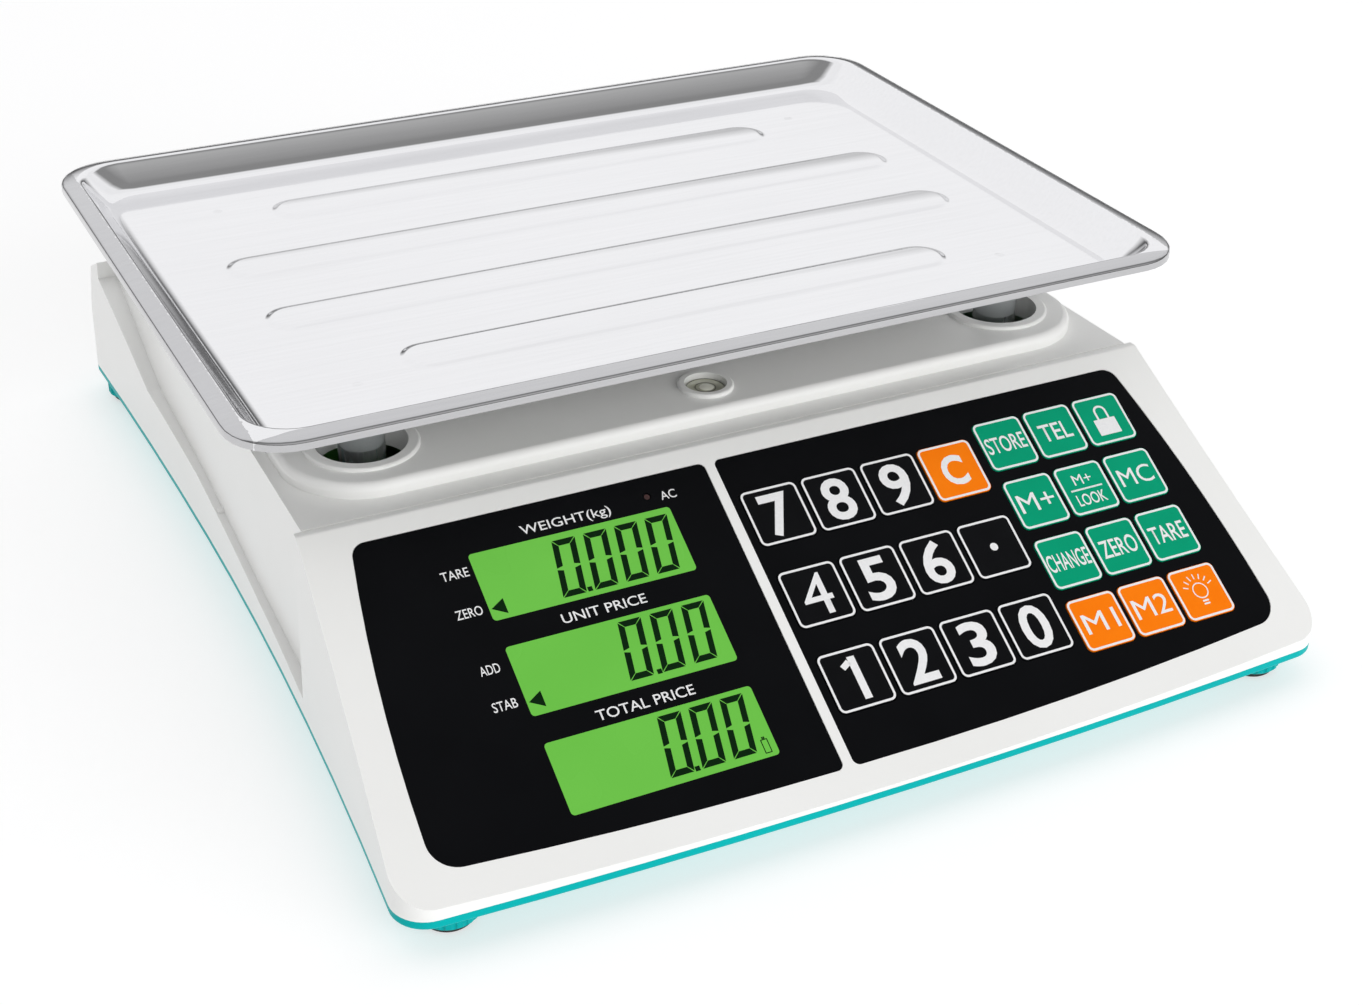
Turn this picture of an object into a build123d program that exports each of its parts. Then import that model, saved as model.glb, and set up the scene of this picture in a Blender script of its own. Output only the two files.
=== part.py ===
from build123d import *
import os
from math import cos, sin, tan, radians

# ---------------------------------------------------------------- driving dimensions, mm
BODY_FRONT = -193.2
BODY_REAR = 193.2
SEAM_Z = 12.0
BASE_Z = 8.8
SHELL_DRAFT = 1.5
WALL = 2.5

RIDGE_Y = -85.85
RIDGE_Z = 77.3
PANEL_TILT = 30.8
TOP_REAR_Y = 141.0
SLOPE_REAR_Y = 179.5
SLOPE_REAR_Z = 57.3
REAR_TILT = 16.0
FACE_WALL = 3.6
FACE_RECESS = 1.6
SHEET_TOP = -0.2

TRAY_X = 336.0
TRAY_Y = 240.0
TRAY_TOP_Z = 112.7
TRAY_DEPTH = 10.0
TRAY_SHEET = 0.8
TRAY_CENTRE_Y = 28.2
TRAY_CORNER = 20.0
FLANGE = 7.6
RIB_PITCH = 44.2
RIB_WIDTH = 19.0
RIB_HEIGHT = 1.0

POST_X = 118.6
POST_Y = 76.0
POST_D = 15.0
POST_HOLE_D = 29.5
COLLAR_D = 37.0
PLATEAU_H = 4.8
COLLAR_H = 1.1
PLATEAU_R = 26.6
BRACKET_Z = 44.0
BRACKET_T = 3.0

FOOT_X = 143.0
FOOT_FRONT_Y = -175.3
FOOT_REAR_Y = 176.0
FOOT_D = 19.0
SOLE_D = 15.0

DIGIT_KEY = 20.25
DIGIT_PITCH_X = 21.95
DIGIT_PITCH_S = 29.85
DIGIT_X = -4.35
DIGIT_S = 30.1
FUNC_KEY = 18.6
FUNC_PITCH_X = 20.15
FUNC_PITCH_S = 23.0
FUNC_X = 84.5
FUNC_S = 25.1
KEY_GAP = 0.3
KEY_TOP = 0.1

LCD_X = -71.6
LCD_S = 30.1
LCD_PITCH = 32.05
LCD_W = 71.4
LCD_H = 27.4
LCD_T = 6.0
LED_X = -43.4
LED_S = 13.4
ROCKER_PIN = (151.2, 60.0)

DIGIT_KEYS = [["key_7", "key_8", "key_9", "key_clear"],
              ["key_4", "key_5", "key_6", "key_point"],
              ["key_1", "key_2", "key_3", "key_0"]]
FUNC_KEYS = [["key_store", "key_tel", "key_lock"],
             ["key_memory_add", "key_memory_look", "key_memory_clear"],
             ["key_change", "key_zero", "key_tare"],
             ["key_m1", "key_m2", "key_light"]]

# ---------------------------------------------------------------- working planes
panel = Plane(origin=(0, RIDGE_Y, RIDGE_Z), x_dir=(1, 0, 0),
              z_dir=(0, -sin(radians(PANEL_TILT)), cos(radians(PANEL_TILT))))
rear_face = Plane(origin=(0, SLOPE_REAR_Y, SLOPE_REAR_Z), x_dir=(-1, 0, 0),
                  z_dir=(0, cos(radians(REAR_TILT)), sin(radians(REAR_TILT))))


def on_panel(x, s, h):
    """A place on the front panel: x across, s down the slope from the ridge, h out of it."""
    return panel * Pos(x, -s, h)


def on_rear(x, s, h):
    return rear_face * Pos(x, -s, h)


def box(x0, x1, y0, y1, z0, z1):
    return Pos((x0 + x1) / 2, (y0 + y1) / 2, (z0 + z1) / 2) * Box(x1 - x0, y1 - y0, z1 - z0)


def cyl(x, y, z0, z1, d):
    return Pos(x, y, (z0 + z1) / 2) * Cylinder(d / 2, z1 - z0)


def slab(w, h, r, t):
    """A rounded plate standing on its local plane."""
    return extrude(RectangleRounded(w, h, r), t)


def four_corners(dx, dy, cx=0.0, cy=0.0):
    return [(cx + i * dx, cy + j * dy) for i in (-1, 1) for j in (-1, 1)]


# ---------------------------------------------------------------- housing form
def side_x(y):
    """Half width of the base outline: a waist at y = 35, flared to front and rear."""
    reach, flare = (211.0, 9.7) if y < 35 else (155.0, 3.2)
    radius = (reach**2 + flare**2) / (2 * flare)
    return 151.0 + radius - (radius**2 - (y - 35.0)**2)**0.5


def outline(inset=0.0):
    """Plan outline of the housing with a bowed front edge and two-arc sides."""
    f, r = BODY_FRONT + 4.8 + inset, BODY_REAR - inset
    pts = [(side_x(y) - inset, y) for y in (f, -75.0, 35.0, 115.0, r)]
    right = [ThreePointArc(pts[0], pts[1], pts[2]), ThreePointArc(pts[2], pts[3], pts[4])]
    left = [e.mirror(Plane.YZ) for e in right]
    rear = Line(pts[4], (-pts[4][0], r))
    front = ThreePointArc(pts[0], (0, BODY_FRONT + inset), (-pts[0][0], f))
    face = make_face(right + left + [rear, front])
    corners = face.vertices().sort_by(Axis.Y)
    face = fillet(corners[:2], 11.0 - min(inset, 6.0))
    return fillet(face.vertices().sort_by(Axis.Y)[-2:], 9.0 - min(inset, 6.0))


def side_profile(drop=0.0, face_drop=0.0):
    """Side view of the housing: front slope, ridge, flat top, rear slope and rear face."""
    t = radians(PANEL_TILT)
    top = RIDGE_Z - drop
    ridge = RIDGE_Y + (face_drop - drop * cos(t)) / sin(t)
    foot = ridge - (top - 2.0) / tan(t)
    shift = face_drop / cos(radians(REAR_TILT))
    rear_top = (SLOPE_REAR_Y - shift + drop * tan(radians(REAR_TILT)), SLOPE_REAR_Z - drop)
    rear_foot = (rear_top[0] + (rear_top[1] - 2.0) * tan(radians(REAR_TILT)), 2.0)
    corner = (TOP_REAR_Y - drop * 0.3, top)
    pts = [(foot, 2.0), (ridge, top), corner, rear_top, rear_foot]
    face = make_face(Polyline(*pts, close=True))
    return extrude(Plane.YZ * face, 200, both=True)


def housing_form(inset, drop, face_drop):
    block = extrude(Pos(0, 0, SEAM_Z) * outline(inset), 80, taper=SHELL_DRAFT)
    return block & side_profile(drop, face_drop)


def hand_scoop(side, skin=0.0):
    """The hollow above the crease of each side wall, deepest at the rear grip.

    With a skin it is the larger block that keeps the inner room clear of the scoop.
    """
    crease = [(169.0, 56.0), (107.0, 35.3), (44.0, 32.0), (-16.0, 24.5), (-83.0, 18.0),
              (-83.0, 90.0), (169.0, 90.0)]
    face = make_face(Polyline(*crease, close=True))
    if skin:
        face = offset(face, skin, kind=Kind.INTERSECTION)
    column = Pos(side * 150.0 - 20, 0, 0) * extrude(Plane.YZ * face, 40)
    tilt = Pos(side * (149.9 - skin), -83.0, 0) * Rot(0, 0, side * 1.1)
    keep = tilt * Pos(side * 30.0, 150.0, 50.0) * Box(60, 500, 140)
    return column & keep


def outer_body():
    body = housing_form(0.0, 0.0, 0.0)
    body -= hand_scoop(1)
    body -= hand_scoop(-1)
    body = soften(body)
    return body - box(-170, 170, -83.4, -82.9, RIDGE_Z - 0.5, RIDGE_Z + 5)


def soften(body):
    """Rounds the long top edges one group at a time."""
    top = body.edges().filter_by(Axis.X).filter_by(lambda e: e.length > 200)
    for edge in top:
        c = edge.center()
        if c.Z > 50:
            body = try_fillet(body, c, 2.4)
    return body


def try_fillet(body, where, radius):
    edge = body.edges().sort_by_distance(where)[0]
    return fillet(edge, radius)


def top_plateau():
    cx, cy = 0, TRAY_CENTRE_Y
    w, h = 2 * (POST_X + PLATEAU_R), 2 * (POST_Y + PLATEAU_R)
    raised = Pos(cx, cy, RIDGE_Z - 1) * slab(w, h, PLATEAU_R, PLATEAU_H + 1)
    raised = fillet(raised.faces().sort_by(Axis.Z)[-1].edges(), 2.6)
    collars = [cyl(x, y, RIDGE_Z, RIDGE_Z + PLATEAU_H + COLLAR_H, COLLAR_D)
               for x, y in four_corners(POST_X, POST_Y, cx, cy)]
    for c in collars:
        raised += fillet(c.edges().sort_by(Axis.Z)[-1], 0.9)
    return raised


def key_places():
    """Every key: name, centre across, centre down the slope and edge length."""
    for j, row in enumerate(DIGIT_KEYS):
        for i, name in enumerate(row):
            yield name, DIGIT_X + i * DIGIT_PITCH_X, DIGIT_S + j * DIGIT_PITCH_S, DIGIT_KEY
    for j, row in enumerate(FUNC_KEYS):
        for i, name in enumerate(row):
            yield name, FUNC_X + i * FUNC_PITCH_X, FUNC_S + j * FUNC_PITCH_S, FUNC_KEY


def sheet_outline(left):
    """Plan of one black front sheet; its outer and lower edges follow the housing bow."""
    if left:
        outer, inner, r_out = -1, -21.0, 9.0
    else:
        outer, inner, r_out = 1, -17.3, 9.0
    low_in = -115.9
    a = (inner, -6.5)
    b = (outer * 137.6, -6.5)
    c = (outer * 147.8, -109.8)
    d = (inner, low_in)
    edges = [Line(a, b), ThreePointArc(b, (outer * 145.4, -60.0), c),
             ThreePointArc(c, (outer * 78.0, -114.4), d), Line(d, a)]
    face = make_face(edges)
    vs = face.vertices()
    face = fillet(vs.sort_by_distance((b[0], b[1], 0))[0], 5.0)
    face = fillet(face.vertices().sort_by_distance((c[0], c[1], 0))[0], r_out)
    for p in (a, d):
        face = fillet(face.vertices().sort_by_distance((p[0], p[1], 0))[0], 2.2)
    return face


def front_sheet(left):
    t = FACE_RECESS + SHEET_TOP
    return panel * Pos(0, 0, -FACE_RECESS) * extrude(sheet_outline(left), t)


def face_cuts():
    """Recesses and openings of the front slope."""
    cuts = []
    for left in (True, False):
        grown = offset(sheet_outline(left), 0.15)
        cuts.append(panel * Pos(0, 0, -FACE_RECESS) * extrude(grown, 12))
    for j in range(3):
        place = on_panel(LCD_X, LCD_S + j * LCD_PITCH, -12)
        cuts.append(place * slab(LCD_W + 0.6, LCD_H + 0.6, 1.0, 14))
    cuts.append(on_panel(LED_X, LED_S, -5) * Cylinder(2.2, 12))
    cuts.append(on_panel(28.6, 60.0, -12) * slab(88.5, 82.5, 3.0, 14))
    cuts.append(on_panel(104.7, 59.6, -12) * slab(60.5, 89.5, 3.0, 14))
    return cuts


def rear_cuts():
    cuts = [on_rear(0, 24.0, -FACE_RECESS) * slab(270.3, 34.3, 4.0, 12)]
    for i in (-1, 0, 1):
        cuts.append(on_rear(82.0 * i, 24.0, -12) * slab(LCD_W + 0.6, LCD_H + 0.6, 1.0, 14))
    return cuts


HOUSING_SCREWS = [(-146.0, -120.0), (146.0, -120.0), (-143.0, 20.0), (143.0, 20.0),
                  (-130.5, 177.5), (130.5, 177.5)]


def upper_housing():
    body = outer_body() + top_plateau()
    inner = housing_form(WALL, WALL, FACE_WALL) - hand_scoop(1, WALL) - hand_scoop(-1, WALL)
    inner += Pos(0, 0, -1) * extrude(Pos(0, 0, SEAM_Z) * outline(WALL), 3)
    body -= inner
    body -= Pos(0, TRAY_CENTRE_Y, RIDGE_Z - 4) * slab(268, 182, 18, 4 + PLATEAU_H - WALL)
    body += cyl(-3.0, -58.2, RIDGE_Z - 4.5, RIDGE_Z + PLATEAU_H, 22.0)
    body -= cyl(-3.0, -58.2, RIDGE_Z - 2.6, RIDGE_Z + 20, 17.0)
    for x, y in four_corners(POST_X, POST_Y, 0, TRAY_CENTRE_Y):
        body += cyl(x, y, RIDGE_Z - 3, RIDGE_Z + PLATEAU_H, COLLAR_D)
        body -= cyl(x, y, RIDGE_Z - 8, RIDGE_Z + 20, POST_HOLE_D)
    for x, y in HOUSING_SCREWS:
        body += screw_tower(x, y)
    for cut in face_cuts() + rear_cuts():
        body -= cut
    body += side_pads()
    body -= side_holes()
    return body


def screw_tower(x, y):
    """A pillar under the top shell that takes one base screw."""
    tower = cyl(x, y, SEAM_Z, 30.0, 7.0)
    rib = box(min(x, x * 1.07), max(x, x * 1.07), y - 1.0, y + 1.0, SEAM_Z, 30.0)
    if y > 150:
        rib = box(x - 1.0, x + 1.0, y, BODY_REAR, SEAM_Z, 30.0)
    inside = housing_form(0.6, 0.6, 0.6)
    return ((tower + rib) & inside) - cyl(x, y, SEAM_Z - 1, 26.0, 2.9)


def side_pads():
    """Two flat pads on the right wall that carry the mains inlet and the power switch."""
    return box(148.2, 153.2, 121.0, 159.0, 15.0, 43.0) + box(147.2, 152.4, 45.0, 75.0, 13.5, 32.0)


def side_holes():
    return box(140.0, 160.0, 126.3, 153.7, 19.0, 39.0) + box(140.0, 160.0, 50.3, 69.7, 16.0, 29.4)


# ---------------------------------------------------------------- lower housing
def inner_room(gap):
    """The space inside the upper housing, less a clearance."""
    room = housing_form(WALL + gap, WALL + gap, FACE_WALL + gap)
    return room - hand_scoop(1, WALL + gap) - hand_scoop(-1, WALL + gap)


def foot_boss(x, y):
    column = cyl(x, y, SEAM_Z - 1, 27.0, 15.0) & inner_room(0.4)
    return column + cyl(x, y, BASE_Z, SEAM_Z, 15.0)


def lower_housing():
    plate = extrude(Pos(0, 0, BASE_Z) * outline(0.0), SEAM_Z - BASE_Z)
    plate = fillet(plate.faces().sort_by(Axis.Z)[0].edges(), 1.2)
    plate -= extrude(Pos(0, 0, BASE_Z + 2.6) * outline(WALL + 2.0), 5)
    lip = extrude(Pos(0, 0, SEAM_Z - 1.0) * outline(WALL + 0.4), 1.0)
    lip += extrude(Pos(0, 0, SEAM_Z) * outline(WALL + 0.4), 3.2) & inner_room(0.4)
    lip -= extrude(Pos(0, 0, BASE_Z + 1.0) * outline(WALL + 2.0), 8)
    for x, y in HOUSING_SCREWS:
        lip -= cyl(x, y, SEAM_Z, SEAM_Z + 8, 8.0)
        lip -= box(min(x, x * 1.08), max(x, x * 1.08), y - 1.6, y + 1.6, SEAM_Z, SEAM_Z + 8)
        if y > 150:
            lip -= box(x - 1.6, x + 1.6, y, BODY_REAR, SEAM_Z, SEAM_Z + 8)
    for y in (60.0, 140.0):
        lip -= box(144.0, 160.0, y - 20.5, y + 20.5, SEAM_Z, SEAM_Z + 8)
    body = plate + lip
    for x, y in foot_places():
        body += foot_boss(x, y)
        body -= cyl(x, y, BASE_Z - 1, 30.0, 8.6)
    for x, y in HOUSING_SCREWS:
        body += cyl(x, y, BASE_Z + 1, SEAM_Z, 8.0)
        body -= cyl(x, y, 0, 20.0, 3.4)
        body -= cyl(x, y, 0, BASE_Z + 1.6, 6.8)
    body += box(-66.0, -32.0, 13.2, 43.2, BASE_Z + 1, 20.0)
    for x in LOAD_BOLTS_LEFT:
        body -= cyl(x, TRAY_CENTRE_Y, 0, 30.0, 6.6)
        body -= cyl(x, TRAY_CENTRE_Y, 0, BASE_Z + 4.2, 11.2)
    for x, y in four_corners(POST_X, POST_Y, 0, TRAY_CENTRE_Y):
        body += cyl(x, y, BASE_Z + 1, BRACKET_Z - 1.2, 9.0)
    body += battery_walls()
    body -= box(-52.0, 52.0, 60.6, 133.4, BASE_Z - 1, 20.0) - battery_ledge()
    for x, y in four_corners(42.0, 26.0, -62.0, -42.0):
        body += cyl(x, y, BASE_Z + 1, 15.0, 6.0)
    for x, y in four_corners(18.0, 8.0, 94.0, 150.0):
        body += cyl(x, y, BASE_Z + 1, 14.0, 5.0)
    return body


def foot_places():
    return [(x, y) for y in (FOOT_FRONT_Y, FOOT_REAR_Y) for x in (-FOOT_X, FOOT_X)]


def battery_walls():
    return (box(-54.0, 54.0, 58.6, 135.4, BASE_Z, 30.0)
            - box(-52.0, 52.0, 60.6, 133.4, BASE_Z - 1, 40.0))


def battery_ledge():
    """Narrow ledges at both ends of the battery opening that the door closes against."""
    return (box(-52.0, -49.0, 60.6, 133.4, BASE_Z + 1.4, BASE_Z + 2.6)
            + box(49.0, 52.0, 60.6, 133.4, BASE_Z + 1.4, BASE_Z + 2.6))


def battery_door():
    body = box(-51.7, 51.7, 60.9, 133.1, BASE_Z, BASE_Z + 1.4)
    body += box(-48.7, 48.7, 60.9, 133.1, BASE_Z + 1.4, BASE_Z + 2.4)
    for i in range(5):
        body -= box(-20.0, 20.0, 126.0 - 3 * i, 127.2 - 3 * i, BASE_Z - 1, BASE_Z + 0.6)
    return body


def battery():
    body = fillet(box(-48.5, 48.5, 63.0, 131.0, BASE_Z + 2.6, 58.0).edges().filter_by(Axis.Z), 2.0)
    for x in (-30.0, 30.0):
        body += box(x - 3.2, x + 3.2, 119.0, 119.8, 58.0, 64.0)
    return body


# ---------------------------------------------------------------- load cell and platform
LOAD_BOLTS_LEFT = (-58.0, -40.0)
LOAD_BOLTS_RIGHT = (40.0, 58.0)


def load_cell():
    """An aluminium bending beam with the double-hole flexure through its middle."""
    y0, y1 = TRAY_CENTRE_Y - 15.0, TRAY_CENTRE_Y + 15.0
    body = box(-65.0, 65.0, y0, y1, 20.0, 42.0)
    for x in (-13.0, 13.0):
        body -= Pos(x, TRAY_CENTRE_Y, 31.0) * Rot(90, 0, 0) * Cylinder(8.6, 60)
    body -= box(-13.0, 13.0, y0 - 1, y1 + 1, 27.0, 35.0)
    for x in LOAD_BOLTS_LEFT + LOAD_BOLTS_RIGHT:
        body -= cyl(x, TRAY_CENTRE_Y, 10.0, 50.0, 5.2)
    return body


def load_cell_bolts():
    """Two socket screws up through the base into the fixed end of the beam."""
    out = []
    for x in LOAD_BOLTS_LEFT:
        head = cyl(x, TRAY_CENTRE_Y, BASE_Z + 0.2, BASE_Z + 4.2, 10.0)
        head -= Pos(x, TRAY_CENTRE_Y, BASE_Z + 0.2) * extrude(RegularPolygon(2.9, 6), 2.5)
        out.append(head + cyl(x, TRAY_CENTRE_Y, BASE_Z + 4.2, 34.0, 5.2))
    return out


def platform_bolts():
    """Two socket screws down through the bracket into the free end of the beam."""
    out = []
    top = BRACKET_Z + BRACKET_T
    for x in LOAD_BOLTS_RIGHT:
        head = cyl(x, TRAY_CENTRE_Y, top, top + 4.6, 10.0)
        head -= Pos(x, TRAY_CENTRE_Y, top + 2.2) * extrude(RegularPolygon(2.9, 6), 2.6)
        out.append(head + cyl(x, TRAY_CENTRE_Y, 28.0, top, 5.2))
    return out


def platform_bracket():
    """Pressed steel bracket: a beam over the load cell and two arms that carry the posts."""
    z0, z1 = BRACKET_Z, BRACKET_Z + BRACKET_T
    cy = TRAY_CENTRE_Y
    body = box(-112.0, 112.0, cy - 24, cy + 24, z0, z1)
    for x in (-POST_X, POST_X):
        body += Pos(x, cy, z0) * slab(24.0, 2 * POST_Y + 24.0, 6.0, BRACKET_T)
    for y in (cy - 24, cy + 22):
        body += box(-104.0, 104.0, y, y + 2.0, z1, z1 + 7.0)
    body += box(32.0, 66.0, cy - 15, cy + 15, 42.0, z0)
    for x in LOAD_BOLTS_RIGHT:
        body -= cyl(x, cy, 40.0, 50.0, 5.2)
    for x in (-70.0, -20.0, 0.0):
        body -= cyl(x, cy, 40.0, 50.0, 16.0)
    for x, y in four_corners(POST_X, POST_Y, 0, cy):
        body -= cyl(x, y, 40.0, 50.0, 5.0)
    return body


def support_posts():
    """Clear moulded posts: a spigot in the bracket, a thick tube and a bore for the stud."""
    out = []
    z0 = BRACKET_Z + BRACKET_T
    top = tray_under() - 1.0
    for x, y in four_corners(POST_X, POST_Y, 0, TRAY_CENTRE_Y):
        post = cyl(x, y, z0, top, POST_D)
        post = chamfer(post.edges().sort_by(Axis.Z)[-1], 0.8)
        post += cyl(x, y, z0, z0 + 4.0, 20.0)
        post += cyl(x, y, BRACKET_Z + 0.2, z0, 5.0)
        post -= cyl(x, y, top - 14.0, top + 1, 6.8)
        out.append(post)
    return out


# ---------------------------------------------------------------- weighing tray
def tray_under():
    return TRAY_TOP_Z - TRAY_DEPTH - TRAY_SHEET


def tray_basin(grow, z_low, z_high):
    """Lofted basin between the floor and the inside of the flange."""
    w, h = TRAY_X - 2 * FLANGE, TRAY_Y - 2 * FLANGE
    low = Pos(0, TRAY_CENTRE_Y, z_low) * RectangleRounded(w - 18 + grow, h - 18 + grow, 11.0)
    high = Pos(0, TRAY_CENTRE_Y, z_high) * RectangleRounded(w + grow, h + grow, 15.5)
    return loft([low, high])


def rib_shape(length, z):
    slot = SlotOverall(length, RIB_WIDTH)
    return extrude(Pos(0, 0, z) * slot, RIB_HEIGHT, taper=55)


def weighing_tray():
    floor = TRAY_TOP_Z - TRAY_DEPTH
    cy = TRAY_CENTRE_Y
    outer = tray_basin(1.6, floor - TRAY_SHEET, TRAY_TOP_Z)
    outer = fillet(outer.faces().sort_by(Axis.Z)[0].edges(), 4.8)
    inner = tray_basin(0.0, floor, TRAY_TOP_Z + 0.01)
    inner = fillet(inner.faces().sort_by(Axis.Z)[0].edges(), 4.0)
    rim = Pos(0, cy, TRAY_TOP_Z - 4.0) * slab(TRAY_X, TRAY_Y, TRAY_CORNER, 4.0)
    rim = fillet(rim.faces().sort_by(Axis.Z)[-1].edges(), 1.5)
    under = Pos(0, cy, TRAY_TOP_Z - 5.0) * slab(TRAY_X - 1.6, TRAY_Y - 1.6, TRAY_CORNER - 0.8, 4.2)
    under = fillet(under.faces().sort_by(Axis.Z)[-1].edges(), 0.7)
    body = (rim - under) + outer - inner
    for k, length in ((-1.5, 202.0), (-0.5, 262.0), (0.5, 262.0), (1.5, 202.0)):
        place = Pos(0, cy + k * RIB_PITCH, 0)
        body += place * rib_shape(length, floor - 0.01)
        body -= place * rib_shape(length - 1.2, floor - TRAY_SHEET)
    return body


def tray_studs():
    """Welded studs under the tray floor that drop into the posts."""
    out = []
    z = tray_under()
    for x, y in four_corners(POST_X, POST_Y, 0, TRAY_CENTRE_Y):
        stud = cyl(x, y, z - 1.0, z, 13.0) + cyl(x, y, z - 11.0, z - 1.0, 6.0)
        out.append(chamfer(stud.edges().sort_by(Axis.Z)[0], 0.8))
    return out


# ---------------------------------------------------------------- front panel parts
def display_window():
    sheet = front_sheet(True)
    return sheet - on_panel(LED_X, LED_S, -3) * Cylinder(1.25, 8)


def keypad_overlay():
    sheet = front_sheet(False)
    for _, x, s, size in key_places():
        side = size + 2 * KEY_GAP
        sheet -= on_panel(x, s, -3) * slab(side, side, 2.5, 6)
    return sheet


def key_cap(x, s, size):
    """One key: a rounded cap, a wider flange below the sheet and a stem to its switch."""
    cap = slab(size, size, 2.2, KEY_TOP + 1.9)
    cap = chamfer(cap.faces().sort_by(Axis.Z)[-1].edges(), 0.15)
    body = Pos(0, 0, -1.9) * cap
    body += Pos(0, 0, -2.7) * slab(size + 0.9, size + 0.9, 2.4, 0.8)
    body += Pos(0, 0, (-4.8 - 2.7) / 2) * Cylinder(2.0, 2.1)
    return on_panel(x, s, 0) * body


def key_switches():
    """A tact switch under every key: square can with a round plunger."""
    out = []
    for _, x, s, _size in key_places():
        can = Pos(0, 0, -9.0) * slab(6.0, 6.0, 0.4, 3.0)
        out.append(on_panel(x, s, 0) * (can + Pos(0, 0, -5.75) * Cylinder(1.7, 0.5)))
    return out


def keypad_board():
    board = on_panel(60.3, 58.5, -10.6) * slab(155.0, 88.0, 1.0, 1.6)
    board += on_panel(60.3, 58.5, -15.0) * slab(22.0, 22.0, 1.0, 4.5)
    board += on_panel(20.0, 86.0, -14.5) * slab(30.0, 6.0, 0.5, 4.0)
    return board


def front_lcd_modules():
    """Three glass display modules with their backlight, flush behind the window."""
    out = []
    for j in range(3):
        place = on_panel(LCD_X, LCD_S + j * LCD_PITCH, -1.8 - LCD_T)
        out.append(place * slab(LCD_W, LCD_H, 0.6, LCD_T))
    return out


def front_display_board():
    board = on_panel(-76.0, 60.0, -9.6) * slab(112.0, 94.0, 1.5, 1.6)
    board += on_panel(-118.0, 40.0, -13.5) * slab(16.0, 16.0, 0.8, 4.0)
    return board


def ac_indicator_led():
    body = on_panel(LED_X, LED_S, -4.6) * Cylinder(1.5, 5.4)
    dome = on_panel(LED_X, LED_S, -1.4) * Cylinder(0.95, 1.8)
    return body + dome


def level_bezel():
    """White ring around the spirit level, seated in the raised top."""
    x, y, z = -3.0, -58.2, RIDGE_Z + PLATEAU_H
    ring = cyl(x, y, z - 7.0, z, 16.6) + cyl(x, y, z, z + 1.3, 18.8)
    ring = fillet(ring.edges().sort_by(Axis.Z)[-1], 0.8)
    return ring - cyl(x, y, z - 5.5, z + 3, 14.2)


def level_vial():
    x, y, z = -3.0, -58.2, RIDGE_Z + PLATEAU_H
    body = cyl(x, y, z - 5.5, z - 0.6, 13.8)
    return fillet(body.edges().sort_by(Axis.Z)[-1], 0.6)


def rear_display_window():
    return on_rear(0, 24.0, -FACE_RECESS) * slab(270.0, 34.0, 3.8, FACE_RECESS + SHEET_TOP)


def rear_lcd_modules():
    out = []
    for i in (-1, 0, 1):
        out.append(on_rear(82.0 * i, 24.0, -1.8 - LCD_T) * slab(LCD_W, LCD_H, 0.6, LCD_T))
        out[-1] += on_rear(82.0 * i, 24.0, -3.4 - LCD_T) * slab(LCD_W + 6, LCD_H + 3, 0.6, 1.6)
    return out


# ---------------------------------------------------------------- electronics
def main_board():
    body = box(-110.0, -14.0, -74.0, -10.0, 15.0, 16.6)
    body += box(-76.0, -58.0, -50.0, -32.0, 16.6, 18.6)
    body += box(-104.0, -84.0, -70.0, -62.0, 16.6, 24.0)
    body += box(-40.0, -20.0, -70.0, -62.0, 16.6, 24.0)
    for x in (-50.0, -38.0, -26.0):
        body += cyl(x, -24.0, 16.6, 28.0, 8.0)
    return body


def transformer():
    """Laminated mains transformer with its coil."""
    core = box(72.0, 116.0, 139.0, 161.0, 14.0, 50.0)
    coil = fillet(box(80.0, 108.0, 132.0, 168.0, 22.0, 42.0).edges().filter_by(Axis.Z), 3.0)
    return core + coil


def mains_inlet():
    """Three-pin appliance inlet, with no cord."""
    body = box(128.0, 153.2, 126.6, 153.4, 19.3, 38.7)
    flange = box(153.2, 155.6, 122.5, 157.5, 16.0, 42.0)
    body += fillet(flange.edges().filter_by(Axis.X), 2.0)
    body -= box(137.0, 160.0, 128.6, 151.4, 21.3, 36.7)
    for y, z in ((134.0, 26.5), (146.0, 26.5), (140.0, 31.5)):
        body += box(128.0, 150.0, y - 1.0, y + 1.0, z - 2.0, z + 2.0)
    return body


def power_switch_body():
    body = box(134.0, 152.4, 50.6, 69.4, 16.3, 29.1)
    flange = box(152.4, 154.2, 48.5, 71.5, 14.6, 30.8)
    body += fillet(flange.edges().filter_by(Axis.X), 1.0)
    body -= box(142.0, 160.0, 52.4, 67.6, 18.0, 27.4)
    return body - cyl(ROCKER_PIN[0], ROCKER_PIN[1], 16.8, 28.6, 2.76)


def power_rocker():
    """Rocker of the mains switch, pressed down at its front end and turning on its pin."""
    pts = [(3.4, -6.2), (2.2, 0.0), (3.4, 6.2), (-0.6, 6.2), (-4.6, 2.0), (-4.6, -2.0), (-0.6, -6.2)]
    rocker = extrude(make_face(Polyline(*pts, close=True)), 8.4)
    rocker = fillet(rocker.edges().filter_by(Axis.Z).sort_by(Axis.X)[-2:], 0.6)
    rocker += Pos(0, 0, 4.2) * Cylinder(1.3, 11.4)
    return Pos(ROCKER_PIN[0], ROCKER_PIN[1], 18.5) * Rot(0, 0, -8) * rocker


def housing_screws():
    out = []
    for x, y in HOUSING_SCREWS:
        head = cyl(x, y, BASE_Z + 0.2, BASE_Z + 1.6, 6.0)
        head -= box(x - 1.6, x + 1.6, y - 0.35, y + 0.35, BASE_Z, BASE_Z + 0.9)
        head -= box(x - 0.35, x + 0.35, y - 1.6, y + 1.6, BASE_Z, BASE_Z + 0.9)
        out.append(head + cyl(x, y, BASE_Z + 1.6, 24.0, 2.9))
    return out


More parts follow.
